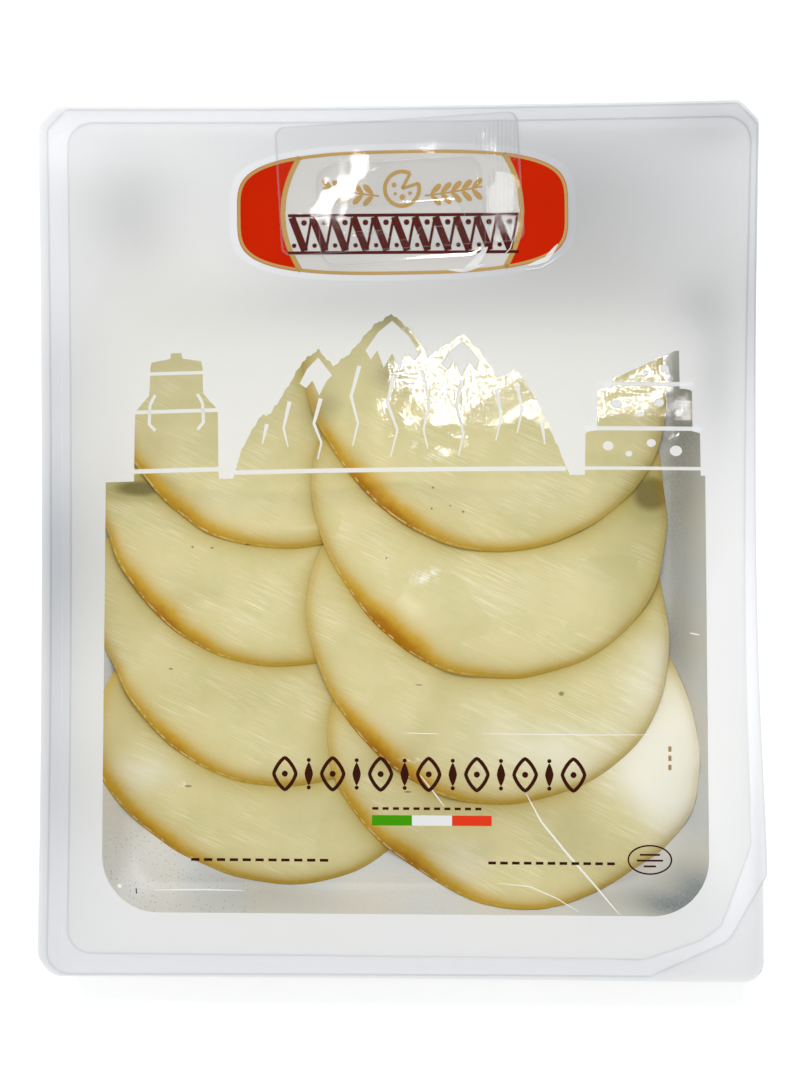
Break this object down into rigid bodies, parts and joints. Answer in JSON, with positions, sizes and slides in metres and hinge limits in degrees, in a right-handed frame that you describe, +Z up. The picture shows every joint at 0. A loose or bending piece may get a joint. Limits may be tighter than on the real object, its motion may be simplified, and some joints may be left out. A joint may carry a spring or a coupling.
{
  "type": "sliced smoked provola in a sealed tray",
  "caption": "Flat retail pack of round smoked provola cheese slices, shingled in two columns in a shallow speckled tray under a clear printed lid film with a hang tab.",
  "frame": {"origin": "on the ground under the middle of the pack's outline, at the tray's flat underside", "axes": "+X across the pack, +Y along its length towards the edge with the hang tab, +Z up out of the lid film; the pack lies on its tray"},
  "size_m": [0.1897, 0.2298, 0.0215],
  "materials": {
    "cheese": "moist pale yellow cut cheese with a thin amber smoked rind",
    "tray": "light grey recycled plastic with tiny dark specks, satin",
    "film": "clear glossy film, printed in translucent white round a clear window",
    "tab": "clear stiff plastic, glossy"
  },
  "bodies": {
    "root": {"tray": "tray", "slice_left_1": "cheese", "slice_left_2": "cheese", "slice_left_3": "cheese", "slice_left_4": "cheese", "slice_right_1": "cheese", "slice_right_2": "cheese", "slice_right_3": "cheese", "slice_right_4": "cheese", "lid_film": "film", "hang_tab": "tab"}
  },
  "joints": []
}
